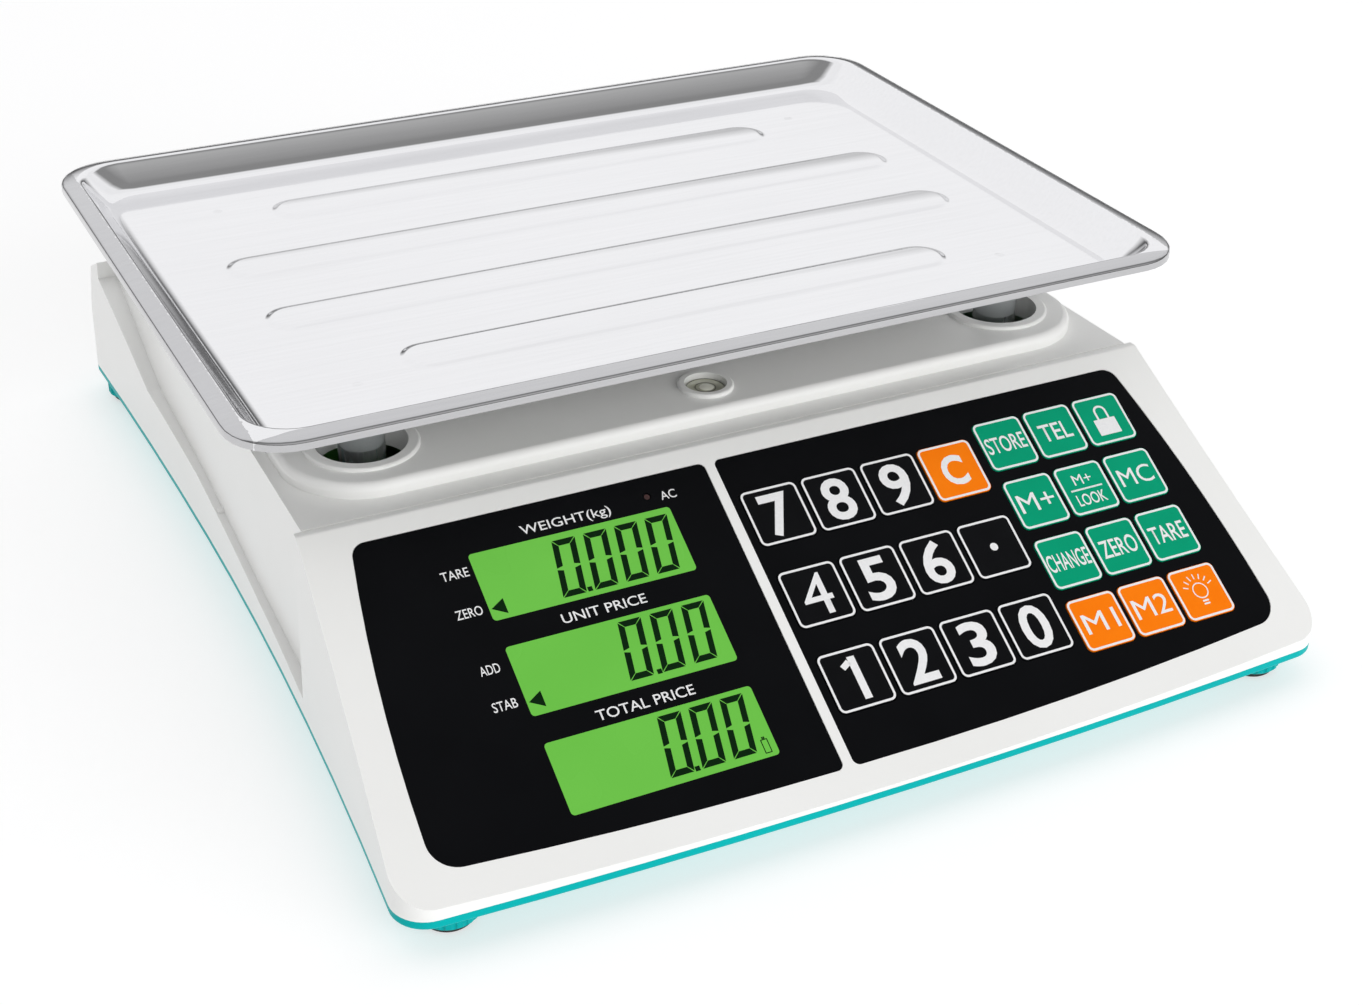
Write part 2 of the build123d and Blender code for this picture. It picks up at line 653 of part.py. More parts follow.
# ---------------------------------------------------------------- levelling feet
def foot_sole(x, y):
    """Rubber sole: a disc with a pin that lets the knob turn above it."""
    body = cyl(x, y, 0.0, 2.2, SOLE_D)
    body = chamfer(body.edges().sort_by(Axis.Z)[0], 0.5)
    return body + cyl(x, y, 2.2, 4.6, 4.0)


def levelling_foot(x, y):
    """Knurled foot knob moulded on its threaded shank; the front ones are shorter."""
    knob = cyl(x, y, 2.2, 7.9, FOOT_D)
    knob = chamfer(knob.edges().sort_by(Axis.Z)[0], 0.8)
    for k in range(18):
        knob -= Pos(x, y, 0) * Rot(0, 0, 20 * k) * cyl(FOOT_D / 2 + 0.5, 0, 0, 10, 2.0)
    shank = cyl(x, y, 7.0, 16.4 if y < 0 else 25.0, 8.0)
    shank = chamfer(shank.edges().sort_by(Axis.Z)[-1], 0.8)
    return knob + shank - cyl(x, y, 0, 5.2, 4.6)


# ---------------------------------------------------------------- write every node
def nodes():
    parts = {
        "upper_housing": upper_housing(),
        "lower_housing": lower_housing(),
        "display_window": display_window(),
        "keypad_overlay": keypad_overlay(),
        "front_lcd_modules": front_lcd_modules(),
        "front_display_board": front_display_board(),
        "keypad_board": keypad_board(),
        "key_switches": key_switches(),
        "ac_indicator_led": ac_indicator_led(),
        "level_bezel": level_bezel(),
        "level_vial": level_vial(),
        "rear_display_window": rear_display_window(),
        "rear_lcd_modules": rear_lcd_modules(),
        "main_board": main_board(),
        "load_cell": load_cell(),
        "load_cell_bolts": load_cell_bolts(),
        "battery": battery(),
        "battery_door": battery_door(),
        "mains_inlet": mains_inlet(),
        "power_switch_body": power_switch_body(),
        "power_rocker": power_rocker(),
        "transformer": transformer(),
        "housing_screws": housing_screws(),
        "platform_bracket": platform_bracket(),
        "support_posts": support_posts(),
        "platform_bolts": platform_bolts(),
        "weighing_tray": weighing_tray(),
        "tray_studs": tray_studs(),
    }
    names = ("front_left", "front_right", "rear_left", "rear_right")
    for name, (x, y) in zip(names, foot_places()):
        parts["foot_sole_" + name] = foot_sole(x, y)
        parts["levelling_foot_" + name] = levelling_foot(x, y)
    for name, x, s, size in key_places():
        parts[name] = key_cap(x, s, size)
    return parts


def write(name, shape):
    pieces = shape if isinstance(shape, list) else [shape]
    solids = [s for piece in pieces for s in piece.solids()]
    whole = solids[0] if len(solids) == 1 else Compound(children=solids)
    whole.label = name
    export_step(whole, "parts/" + name + ".step")


os.makedirs("parts", exist_ok=True)
for node_name, node_shape in nodes().items():
    write(node_name, node_shape)
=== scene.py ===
from math import cos, pi, radians, sin

import bmesh
import bpy
from mathutils import Matrix, Vector


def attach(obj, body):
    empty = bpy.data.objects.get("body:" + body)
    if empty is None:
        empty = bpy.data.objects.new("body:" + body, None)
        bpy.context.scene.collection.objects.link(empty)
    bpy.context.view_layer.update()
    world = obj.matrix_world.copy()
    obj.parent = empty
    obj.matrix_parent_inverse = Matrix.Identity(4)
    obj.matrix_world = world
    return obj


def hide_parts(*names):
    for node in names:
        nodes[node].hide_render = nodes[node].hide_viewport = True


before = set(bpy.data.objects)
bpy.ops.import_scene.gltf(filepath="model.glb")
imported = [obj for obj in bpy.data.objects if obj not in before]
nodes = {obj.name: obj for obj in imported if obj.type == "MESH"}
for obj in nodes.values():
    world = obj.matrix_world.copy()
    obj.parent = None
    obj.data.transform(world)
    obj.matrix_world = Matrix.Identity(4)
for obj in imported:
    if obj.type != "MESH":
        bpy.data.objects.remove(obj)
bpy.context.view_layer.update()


# ---- Studio: a pale floor, one broad light in front of the scale and a surround that is
# bright behind the scale and overhead, dim at its sides and darkest low down. The camera
# looks down on the scale from its front left.
scene = bpy.context.scene
scene.view_settings.view_transform = "Standard"

camera_data = bpy.data.cameras.new("camera")
camera_data.sensor_fit = "HORIZONTAL"
camera_data.sensor_width, camera_data.lens = 36.0, 55.34
camera_data.clip_start, camera_data.clip_end = 0.01, 50.0
camera = bpy.data.objects.new("camera", camera_data)
scene.collection.objects.link(camera)
across = Vector((0.89212095, -0.45151054, 0.01607635))
upward = Vector((0.21515178, 0.45586055, 0.86365553))
backward = across.cross(upward)
camera.matrix_world = (Matrix.Translation((-0.29319, -0.60285, 0.39721))
                       @ Matrix((across, upward, backward)).transposed().to_4x4())
scene.camera = camera

FILL_PLACE, FILL_AIM = Vector((0.9, -2.7, 0.8)), Vector((0.0, 0.0, 0.05))
fill_data = bpy.data.lights.new("front_fill", "AREA")
fill_data.shape = "RECTANGLE"
fill_data.size, fill_data.size_y = 3.6, 2.0
fill_data.energy = 60.0
front_fill = bpy.data.objects.new("front_fill", fill_data)
scene.collection.objects.link(front_fill)
fill_turn = (FILL_AIM - FILL_PLACE).to_track_quat("-Z", "Y").to_matrix().to_4x4()
front_fill.matrix_world = Matrix.Translation(FILL_PLACE) @ fill_turn
front_fill.visible_glossy = False

surround = bpy.data.worlds.new("surround")
surround.use_nodes = True
scene.world = surround


class Shade:
    """One socket of a finish; arithmetic on it adds the Math nodes."""

    def __init__(self, finish, socket):
        self.finish, self.socket = finish, socket

    def math(self, operation, a, b=0.0):
        return self.finish.add("Math", {"operation": operation}, {0: a, 1: b})

    def __add__(self, other):
        return self.math("ADD", self, other)

    def __sub__(self, other):
        return self.math("SUBTRACT", self, other)

    def __rsub__(self, other):
        return self.math("SUBTRACT", other, self)

    def __mul__(self, other):
        return self.math("MULTIPLY", self, other)

    def __pow__(self, other):
        return self.math("POWER", self, other)

    def __lt__(self, other):
        return self.math("LESS_THAN", self, other)

    def __abs__(self):
        return self.math("ABSOLUTE", self)

    __radd__, __rmul__ = __add__, __mul__


class Finish:
    """A surface finish mixed from nodes; even values go straight on the shader."""

    def __init__(self, name, tree=None, shader="Principled BSDF", **even):
        if tree is None:
            self.material = bpy.data.materials.new(name)
            self.material.use_nodes = True
            tree = self.material.node_tree
        self.tree = tree
        self.shader = tree.nodes[shader]
        for socket, value in even.items():
            self.feed(socket.replace("_", " "), value)

    def add(self, kind, settings=None, inputs=None, output=0):
        node = self.tree.nodes.new("ShaderNode" + kind)
        for key, value in (settings or {}).items():
            if key == "stops":
                ramp = node.color_ramp
                ramp.elements[0].position, ramp.elements[0].color = value[0]
                ramp.elements[1].position, ramp.elements[1].color = value[-1]
                for at, colour in value[1:-1]:
                    ramp.elements.new(at).color = colour
            else:
                setattr(node, key, value)
        for key, value in (inputs or {}).items():
            if isinstance(value, Shade):
                self.tree.links.new(value.socket, node.inputs[key])
            else:
                node.inputs[key].default_value = value
        return Shade(self, node.outputs[output])

    def feed(self, socket, value):
        if isinstance(value, Shade):
            self.tree.links.new(value.socket, self.shader.inputs[socket])
        else:
            self.shader.inputs[socket].default_value = value

    def place(self, stretch=(1.0, 1.0, 1.0), turn=(0.0, 0.0, 0.0), shift=(0.0, 0.0, 0.0)):
        spot = self.add("TexCoord", output="Object")
        return self.add("Mapping", {}, {"Vector": spot, "Location": shift, "Rotation": turn,
                                        "Scale": stretch})

    def axis(self, letter, **mapping):
        return self.add("SeparateXYZ", {}, {0: self.place(**mapping)}, letter)

    def noise(self, scale, detail=2.0, **mapping):
        return self.add("TexNoise", {}, {"Vector": self.place(**mapping), "Scale": scale,
                                         "Detail": detail})

    def ramp(self, value, *stops):
        return self.add("ValToRGB", {"stops": stops}, {0: value})

    def mix(self, mask, first, second):
        return self.add("Mix", {"data_type": "RGBA"}, {0: mask, 6: first, 7: second}, 2)

    def relief(self, height, distance, strength=1.0):
        bump = self.add("Bump", {}, {"Height": height, "Distance": distance, "Strength": strength})
        self.feed("Normal", bump)


def tint(red, green, blue):
    return (red, green, blue, 1.0)


sky = Finish("sky", surround.node_tree, "Background")
ray = sky.add("TexCoord", output="Generated")
sideways = sky.add("SeparateXYZ", {}, {0: ray}, "Y")
height = sky.add("SeparateXYZ", {}, {0: ray}, "Z")
walls = sky.ramp(sideways * 0.8 + height * 0.25 + 0.5,
                 (0.0, tint(0.60, 0.60, 0.60)), (0.18, tint(0.42, 0.42, 0.42)),
                 (0.42, tint(0.24, 0.24, 0.24)), (0.61, tint(0.24, 0.24, 0.24)),
                 (0.74, tint(0.86, 0.86, 0.87)), (0.91, tint(0.84, 0.84, 0.85)),
                 (1.0, tint(0.89, 0.89, 0.90)))
# The dark band low down fades into the walls between these two heights.
skirting = sky.ramp(height, (0.12, tint(0.0, 0.0, 0.0)), (0.34, tint(1.0, 1.0, 1.0)))
sky.feed("Color", sky.mix(skirting, tint(0.12, 0.12, 0.122), walls))
sky.feed("Strength", 1.16)

floor_paint = Finish("floor_paint", Roughness=0.85, Specular_IOR_Level=0.1,
                     Emission_Color=(1.0, 1.0, 1.0, 1.0), Emission_Strength=0.55)
floor_paint.feed("Base Color", floor_paint.mix(floor_paint.noise(1.5), tint(0.55, 0.55, 0.55),
                                               tint(0.58, 0.58, 0.58)))
FLOOR_SIZE = 40.0
sweep = bmesh.new()
bmesh.ops.create_grid(sweep, x_segments=1, y_segments=1, size=FLOOR_SIZE)
floor_mesh = bpy.data.meshes.new("studio_floor")
sweep.to_mesh(floor_mesh)
floor_mesh.materials.append(floor_paint.material)
studio_floor = bpy.data.objects.new("studio_floor", floor_mesh)
scene.collection.objects.link(studio_floor)


# ---- Upper shell: one moulding in white ABS with a fine satin grain. It carries the
# panel, the four collars and the rear face, and drops over the lip of the base.
def dress(finish, *names):
    """The finish goes on CAD nodes, whose shapes are kept as they are."""
    for name in names:
        for slot in nodes[name].material_slots:
            slot.material = finish.material


def moulded(name, colour, worn, roughness, grain, coat=0.0, shine=0.5):
    """A moulded plastic: slow cloudy tone, a spark-eroded grain and rubbed patches."""
    plastic = Finish(name, Specular_IOR_Level=shine, Coat_Roughness=0.12)
    plastic.feed("Coat Weight", coat)
    cloud = plastic.noise(11.0, 5.0)
    plastic.feed("Base Color", plastic.mix(plastic.ramp(cloud, (0.35, tint(0, 0, 0)),
                                                        (0.75, tint(1, 1, 1))), colour, worn))
    rubbed = plastic.noise(28.0, 3.0, shift=(3.0, 1.0, 2.0))
    plastic.feed("Roughness", rubbed * 0.10 + (roughness - 0.05))
    skin = plastic.noise(1500.0, 2.0) * 0.7 + plastic.noise(240.0, 2.0) * 0.3
    plastic.relief(skin, grain, 0.35)
    return plastic


white_abs = moulded("white_abs", tint(0.90, 0.90, 0.885), tint(0.865, 0.865, 0.845), 0.30,
                    0.00002, 0.2)
dress(white_abs, "upper_housing")


# ---- Base pan and battery door: one thin teal moulding that closes the shell from
# below, with the foot bosses, and a snap-in door in its underside.
teal_abs = moulded("teal_abs", tint(0.0, 0.43, 0.43), tint(0.0, 0.39, 0.395), 0.36, 0.00002,
                   0.0, 0.05)
dress(teal_abs, "lower_housing", "battery_door")


# ---- Levelling feet: knurled teal knobs that screw up into the base, each with a black
# rubber sole pressed into its end.
FEET = [end + "_" + side for end in ("front", "rear") for side in ("left", "right")]
teal_knob = moulded("teal_knob", tint(0.0, 0.40, 0.40), tint(0.0, 0.34, 0.35), 0.42, 0.00004,
                    0.0, 0.08)
dress(teal_knob, *["levelling_foot_" + corner for corner in FEET])

sole_rubber = Finish("sole_rubber", Specular_IOR_Level=0.35)
scuff = sole_rubber.noise(420.0, 4.0)
sole_rubber.feed("Base Color", sole_rubber.mix(scuff, tint(0.012, 0.012, 0.013),
                                               tint(0.045, 0.044, 0.042)))
sole_rubber.feed("Roughness", scuff * 0.2 + 0.66)
sole_rubber.relief(sole_rubber.noise(1800.0, 3.0), 0.00005)
dress(sole_rubber, *["foot_sole_" + corner for corner in FEET])


# ---- Weighing tray: 0.8 mm stainless sheet pressed in one stroke, with a flange that
# droops to a rolled edge and four shallow ribs raised in the floor. It lifts off.
TRAY_WIDTH, TRAY_LENGTH = 0.336, 0.240
TRAY_TOP, TRAY_DEPTH = 0.1127, 0.010
TRAY_MIDDLE = 0.0282
TRAY_SHEET = 0.0008
FLANGE_WIDTH = 0.0058
STUD_X, STUD_Y, WELD_RADIUS = 0.1186, 0.076, 0.0016
# Distance in from the edge, corner radius and depth below the rim, all in mm.
TRAY_PROFILE = [(0.0, 20.0, 4.0), (0.0, 20.0, 2.0), (0.12, 19.9, 1.45), (0.5, 19.6, 1.02),
                (1.2, 19.0, 0.74), (3.2, 17.9, 0.36), (5.0, 17.0, 0.05), (5.7, 16.6, 0.0),
                (6.3, 16.4, 0.12), (6.8, 16.2, 0.5), (7.2, 16.1, 1.1), (7.9, 15.8, 2.1),
                (9.4, 15.2, 4.1), (11.1, 14.5, 6.1), (12.7, 13.8, 7.9), (13.5, 13.5, 8.6),
                (14.5, 13.1, 9.2), (15.7, 12.6, 9.65), (17.1, 12.0, 9.92), (18.6, 11.5, 9.99),
                (20.0, 10.8, 10.0)]
# Distance in from the rib's foot and height above the floor, in mm.
RIB_PROFILE = [(-0.8, 0.0), (0.0, 0.0), (0.4, 0.1), (1.0, 0.36), (1.8, 0.74), (2.3, 0.93),
               (2.9, 1.0)]
RIB_LENGTHS = (202.0, 262.0, 262.0, 202.0)
RIB_WIDTH = 19.0
RIB_PITCH = 0.0442
# What keeps the round ends of a rib just short of half circles, in mm.
RIB_FLAT = 0.05


def rounded_loop(bm, width, length, radius, centre, steps=8):
    """Edges of one rounded rectangle lying flat round a centre."""
    before = set(bm.edges)
    place = Matrix.Translation(centre) @ Matrix.Diagonal((width, length, 1.0, 1.0))
    made = bmesh.ops.create_grid(bm, x_segments=1, y_segments=1, size=0.5, matrix=place)
    bmesh.ops.bevel(bm, geom=made["verts"], offset=radius, segments=steps, profile=0.5,
                    affect="VERTICES", material=-1)
    fresh = [edge for edge in bm.edges if edge not in before]
    bmesh.ops.delete(bm, geom=list({face for edge in fresh for face in edge.link_faces}),
                     context="FACES_ONLY")
    return [edge for edge in fresh if edge.is_valid]


def stack(bm, loops):
    """Bridges each loop to the next."""
    for lower, upper in zip(loops, loops[1:]):
        bmesh.ops.bridge_loops(bm, edges=lower + upper)


def piece(name, bm, finish, body, bend=35.0):
    """A finished mesh that rides on one CAD body, smooth but for its real corners."""
    mesh = bpy.data.meshes.new(name)
    for face in bm.faces:
        face.smooth = True
    bm.to_mesh(mesh)
    bm.free()
    mesh.set_sharp_from_angle(angle=radians(bend))
    mesh.materials.append(finish.material)
    made = bpy.data.objects.new(name, mesh)
    scene.collection.objects.link(made)
    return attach(made, body)


tray = bmesh.new()
rings = [rounded_loop(tray, TRAY_WIDTH - 0.002 * inset, TRAY_LENGTH - 0.002 * inset, 0.001 * radius,
                      (0.0, TRAY_MIDDLE, TRAY_TOP - 0.001 * depth))
         for inset, radius, depth in TRAY_PROFILE]
stack(tray, rings)
fill = list(rings[-1])
for row, length in enumerate(RIB_LENGTHS):
    steps = [rounded_loop(tray, 0.001 * (length - 2 * inset), 0.001 * (RIB_WIDTH - 2 * inset),
                          0.001 * (RIB_WIDTH / 2 - inset - RIB_FLAT),
                          (0.0, TRAY_MIDDLE + (row - 1.5) * RIB_PITCH,
                           TRAY_TOP - TRAY_DEPTH + 0.001 * rise))
             for inset, rise in RIB_PROFILE]
    stack(tray, steps)
    bmesh.ops.contextual_create(tray, geom=steps[-1])
    fill += steps[0]
bmesh.ops.triangle_fill(tray, use_beauty=True, edges=fill, normal=(0.0, 0.0, 1.0))
bmesh.ops.remove_doubles(tray, verts=tray.verts, dist=0.000002)
bmesh.ops.recalc_face_normals(tray, faces=tray.faces)
if sum(face.normal.z * face.calc_area() for face in tray.faces) < 0:
    bmesh.ops.reverse_faces(tray, faces=tray.faces)
bmesh.ops.solidify(tray, geom=tray.faces[:], thickness=TRAY_SHEET)

stainless = Finish("stainless", Metallic=1.0)
drawn = stainless.noise(26.0, 6.0, stretch=(1.0, 26.0, 26.0))
smear = stainless.noise(14.0, 4.0, shift=(2.0, 5.0, 1.0))
weld_x = abs(abs(stainless.axis("X")) - STUD_X)
weld_y = abs(abs(stainless.axis("Y") - TRAY_MIDDLE) - STUD_Y)
weld = (weld_x * weld_x + weld_y * weld_y) ** 0.5 < WELD_RADIUS
edge_x = TRAY_WIDTH / 2 - abs(stainless.axis("X"))
edge_y = TRAY_LENGTH / 2 - abs(stainless.axis("Y") - TRAY_MIDDLE)
# The band of the flange is painted darker than the tray's floor in the base colour below. This is
# painted shade on the same steel, not a real difference in colour. The band is also made a little
# rougher.
shaded_flange = edge_x.math("MINIMUM", edge_x, edge_y) + (drawn - 0.5) * 0.002 < FLANGE_WIDTH
stainless.feed("Base Color", stainless.mix(shaded_flange * 0.75 + drawn * 0.15 + smear * 0.1,
                                           tint(0.86, 0.86, 0.87), tint(0.50, 0.50, 0.51)))
stainless.feed("Roughness", drawn * 0.05 + smear * 0.03 + 0.02 + shaded_flange * 0.08
               + weld * 0.15)
stainless.relief(drawn * 0.08 + stainless.noise(7.0, 2.0) * 2.0 + weld * 0.4
                 + stainless.noise(900.0, 2.0, stretch=(0.04, 1.0, 1.0)) * 0.04, 0.00018, 0.4)
steel_tray = piece("steel_tray", tray, stainless, "tray", 50.0)
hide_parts("weighing_tray")

stud_steel = Finish("stud_steel", Metallic=1.0)
stud_steel.feed("Base Color", stud_steel.mix(stud_steel.noise(300.0, 3.0), tint(0.55, 0.55, 0.56),
                                             tint(0.40, 0.39, 0.38)))
stud_steel.feed("Roughness", stud_steel.noise(500.0, 2.0) * 0.2 + 0.25)
stud_steel.relief(stud_steel.noise(900.0, 2.0), 0.00003)
dress(stud_steel, "tray_studs")


# ---- Posts: four clear polycarbonate tubes pushed into the bracket. The studs under the
# tray drop into their bores.
clear_post = Finish("clear_post", Transmission_Weight=0.93, IOR=1.58)
haze = clear_post.noise(160.0, 3.0, stretch=(1.0, 1.0, 0.25))
clear_post.feed("Base Color", clear_post.mix(haze, tint(0.86, 0.89, 0.90), tint(0.72, 0.76, 0.78)))
clear_post.feed("Roughness", haze * 0.14 + 0.03)
clear_post.relief(clear_post.noise(90.0, 2.0), 0.0001, 0.4)
dress(clear_post, "support_posts")


# ---- Load platform and load cell: a zinc-coated pressed bracket bolted to the free end
# of a machined aluminium cell, which is bolted to the base at its other end.
zinc_sheet = Finish("zinc_sheet", Metallic=0.85)
spangle = zinc_sheet.add("TexVoronoi", {}, {"Vector": zinc_sheet.place(), "Scale": 140.0}, "Color")
zinc_sheet.feed("Base Color", zinc_sheet.mix(zinc_sheet.add("SeparateColor", {}, {0: spangle}),
                                             tint(0.42, 0.43, 0.44), tint(0.58, 0.59, 0.60)))
zinc_sheet.feed("Roughness", zinc_sheet.noise(60.0, 3.0) * 0.2 + 0.35)
zinc_sheet.relief(zinc_sheet.noise(700.0, 2.0), 0.00003)
dress(zinc_sheet, "platform_bracket")

milled = Finish("milled", Metallic=1.0)
lines = milled.noise(1200.0, 2.0, stretch=(1.0, 0.05, 0.05))
milled.feed("Base Color", milled.mix(lines, tint(0.72, 0.73, 0.74), tint(0.60, 0.61, 0.62)))
milled.feed("Roughness", lines * 0.18 + 0.24)
milled.relief(lines, 0.00003)
dress(milled, "load_cell")

bolt_zinc = Finish("bolt_zinc", Metallic=1.0)
plating = bolt_zinc.noise(350.0, 3.0)
bolt_zinc.feed("Base Color", bolt_zinc.mix(plating, tint(0.58, 0.58, 0.56), tint(0.46, 0.45, 0.41)))
bolt_zinc.feed("Roughness", plating * 0.2 + 0.26)
bolt_zinc.relief(bolt_zinc.noise(1300.0, 2.0), 0.00002)
dress(bolt_zinc, "load_cell_bolts", "platform_bolts", "housing_screws")


# ---- Bubble level: a white ring pressed into the top and a round clear vial of pale
# spirit with a printed circle and one bubble.
dress(white_abs, "level_bezel")
LEVEL_X, LEVEL_Y = -0.003, -0.0582
LEVEL_FACE = 0.0815
# Outer and inner radius of each printed circle.
LEVEL_CIRCLES = ((0.0036, 0.0032), (0.0064, 0.0061))
BUBBLE_RADIUS, BUBBLE_FLATNESS = 0.0025, 0.2
BUBBLE_SHIFT = 0.0004

spirit = Finish("spirit", Coat_Weight=1.0, Coat_Roughness=0.04, Transmission_Weight=0.25, IOR=1.45)
swirl = spirit.noise(220.0, 3.0)
spirit.feed("Base Color", spirit.mix(swirl, tint(0.72, 0.72, 0.56), tint(0.62, 0.63, 0.50)))
spirit.feed("Roughness", swirl * 0.1 + 0.08)
spirit.relief(spirit.noise(500.0, 1.0), 0.0001, 0.5)
dress(spirit, "level_vial")

level_ink = Finish("level_ink", Specular_IOR_Level=0.4)
level_ink.feed("Base Color", level_ink.mix(level_ink.noise(2000.0), tint(0.10, 0.10, 0.085),
                                           tint(0.17, 0.17, 0.14)))
level_ink.feed("Roughness", level_ink.noise(900.0) * 0.2 + 0.3)


def flat_ring(bm, centre, outer, inner, thick, sides=40):
    """A thin printed or moulded ring: two circles bridged and given a thickness."""
    before = set(bm.faces)
    edges = []
    for radius in (outer, inner):
        known = set(bm.edges)
        bmesh.ops.create_circle(bm, segments=sides, radius=radius,
                                matrix=Matrix.Translation(centre))
        edges += [edge for edge in bm.edges if edge not in known]
    bmesh.ops.bridge_loops(bm, edges=edges)
    lift(bm, [face for face in bm.faces if face not in before], thick)


def lift(bm, faces, thick):
    """Gives flat faces a thickness upwards, closed all round."""
    for face in faces:
        if face.normal.z < 0:
            face.normal_flip()
    base = bmesh.ops.duplicate(bm, geom=list(faces))["geom"]
    bmesh.ops.reverse_faces(bm, faces=[item for item in base
                                       if isinstance(item, bmesh.types.BMFace)])
    top = bmesh.ops.extrude_face_region(bm, geom=list(faces))["geom"]
    bmesh.ops.delete(bm, geom=[face for face in faces if face.is_valid], context="FACES_ONLY")
    bmesh.ops.translate(bm, vec=(0.0, 0.0, thick),
                        verts=[item for item in top if isinstance(item, bmesh.types.BMVert)])
    bmesh.ops.remove_doubles(bm, verts=bm.verts, dist=0.0000005)


mark = bmesh.new()
for outer, inner in LEVEL_CIRCLES:
    flat_ring(mark, (LEVEL_X, LEVEL_Y, LEVEL_FACE), outer, inner, 0.00006)
piece("level_circle", mark, level_ink, "housing")

bubble = bmesh.new()
bmesh.ops.create_uvsphere(bubble, u_segments=28, v_segments=14, radius=BUBBLE_RADIUS)
bmesh.ops.bisect_plane(bubble, geom=bubble.verts[:] + bubble.edges[:] + bubble.faces[:],
                       plane_co=(0.0, 0.0, 0.0001), plane_no=(0.0, 0.0, -1.0), clear_outer=True)
bmesh.ops.holes_fill(bubble, edges=[edge for edge in bubble.edges if edge.is_boundary], sides=0)
bmesh.ops.scale(bubble, vec=(1.0, 1.0, BUBBLE_FLATNESS), verts=bubble.verts)
bmesh.ops.translate(bubble, vec=(LEVEL_X + BUBBLE_SHIFT, LEVEL_Y, LEVEL_FACE), verts=bubble.verts)
bubble_skin = Finish("bubble_skin", Coat_Weight=1.0, Coat_Roughness=0.03, Roughness=0.1)
bubble_skin.feed("Base Color", bubble_skin.mix(bubble_skin.noise(400.0), tint(0.80, 0.80, 0.68),
                                               tint(0.88, 0.88, 0.80)))
piece("level_bubble", bubble, bubble_skin, "housing")


# ---- Display sheet: a black printed sheet stuck in the panel's left recess. Three clear
# windows show the lit displays; the labels are screen printed in white.
PANEL_TILT = radians(30.8)
PANEL_Y, PANEL_Z = -0.08585, 0.0773
# A plane with x across the panel and y up its slope, from the middle of its top edge.
panel = Matrix(((1.0, 0.0, 0.0, 0.0),
                (0.0, cos(PANEL_TILT), -sin(PANEL_TILT), PANEL_Y),
                (0.0, sin(PANEL_TILT), cos(PANEL_TILT), PANEL_Z),
                (0.0, 0.0, 0.0, 1.0)))
SHEET_FACE = -0.0002

black_sheet = Finish("black_sheet", Specular_IOR_Level=0.05)
ripple = black_sheet.noise(34.0, 3.0)
black_sheet.feed("Base Color", black_sheet.mix(ripple, tint(0.0022, 0.0024, 0.0030),
                                               tint(0.0042, 0.0045, 0.0055)))
black_sheet.feed("Roughness", ripple * 0.12 + 0.30)
black_sheet.relief(black_sheet.noise(1700.0, 2.0) * 0.25 + ripple, 0.00006, 0.35)
dress(black_sheet, "display_window", "rear_display_window")

lamp_red = Finish("lamp_red", Specular_IOR_Level=0.5)
lamp_red.feed("Base Color", lamp_red.mix(lamp_red.noise(900.0), tint(0.030, 0.008, 0.007),
                                         tint(0.060, 0.012, 0.010)))
lamp_red.feed("Roughness", lamp_red.noise(700.0) * 0.1 + 0.15)
dress(lamp_red, "ac_indicator_led")

white_ink = Finish("white_ink", Specular_IOR_Level=0.35)
opacity = white_ink.noise(1200.0, 3.0)
white_ink.feed("Base Color", white_ink.mix(opacity, tint(0.92, 0.92, 0.92), tint(0.78, 0.78, 0.79)))
white_ink.feed("Roughness", opacity * 0.15 + 0.38)
INK = 0.00003
# Height and middle of a capital in the built-in font, whose size is 1.
FONT_CAPITAL, FONT_MIDDLE = 0.70, 0.345


def words(text, bold):
    """A line of print as a flat mesh, in the built-in font at size 1."""
    line = bpy.data.curves.new("print", "FONT")
    line.body = text
    line.offset = bold
    line.resolution_u = 4
    holder = bpy.data.objects.new("print", line)
    scene.collection.objects.link(holder)
    bpy.context.view_layer.update()
    depsgraph = bpy.context.evaluated_depsgraph_get()
    flat = bpy.data.meshes.new_from_object(holder.evaluated_get(depsgraph))
    bpy.data.objects.remove(holder)
    return flat


def put_print(bm, text, left, right, middle, capital, face, bold=0.004):
    """Prints a line between two places across, centred on a line of the sheet."""
    part = bmesh.new()
    part.from_mesh(words(text, bold))
    low, high = min(v.co.x for v in part.verts), max(v.co.x for v in part.verts)
    bmesh.ops.translate(part, vec=(-low, -FONT_MIDDLE, 0.0), verts=part.verts)
    bmesh.ops.scale(part, vec=((right - left) / (high - low), capital / FONT_CAPITAL, 1.0),
                    verts=part.verts)
    bmesh.ops.remove_doubles(part, verts=part.verts, dist=0.000001)
    bmesh.ops.translate(part, vec=(left, -middle, face), verts=part.verts)
    lift(part, part.faces[:], INK)
    pour(part, bm)


def pour(part, bm):
    """Adds one finished bmesh to another."""
    held = bpy.data.meshes.new("held")
    part.to_mesh(held)
    part.free()
    bm.from_mesh(held)
    bpy.data.meshes.remove(held)


# Word, its left and right ends, its middle down the slope and its capitals' height, in mm.
LABELS = [("WEIGHT(kg)", -86.7, -56.7, 14.7, 3.1), ("UNIT PRICE", -85.2, -57.5, 46.4, 3.2),
          ("TOTAL PRICE", -86.9, -55.1, 78.8, 3.3), ("AC", -39.2, -33.9, 14.3, 3.0),
          ("TARE", -115.5, -106.8, 23.8, 3.1), ("ZERO", -115.5, -107.2, 37.0, 3.1),
          ("ADD", -115.0, -108.8, 56.1, 3.1), ("STAB", -115.4, -107.8, 68.0, 3.1)]
labels = bmesh.new()
for text, left, right, middle, capital in LABELS:
    put_print(labels, text, 0.001 * left, 0.001 * right, 0.001 * middle, 0.001 * capital,
              SHEET_FACE)
labels.transform(panel)
piece("display_labels", labels, white_ink, "housing")


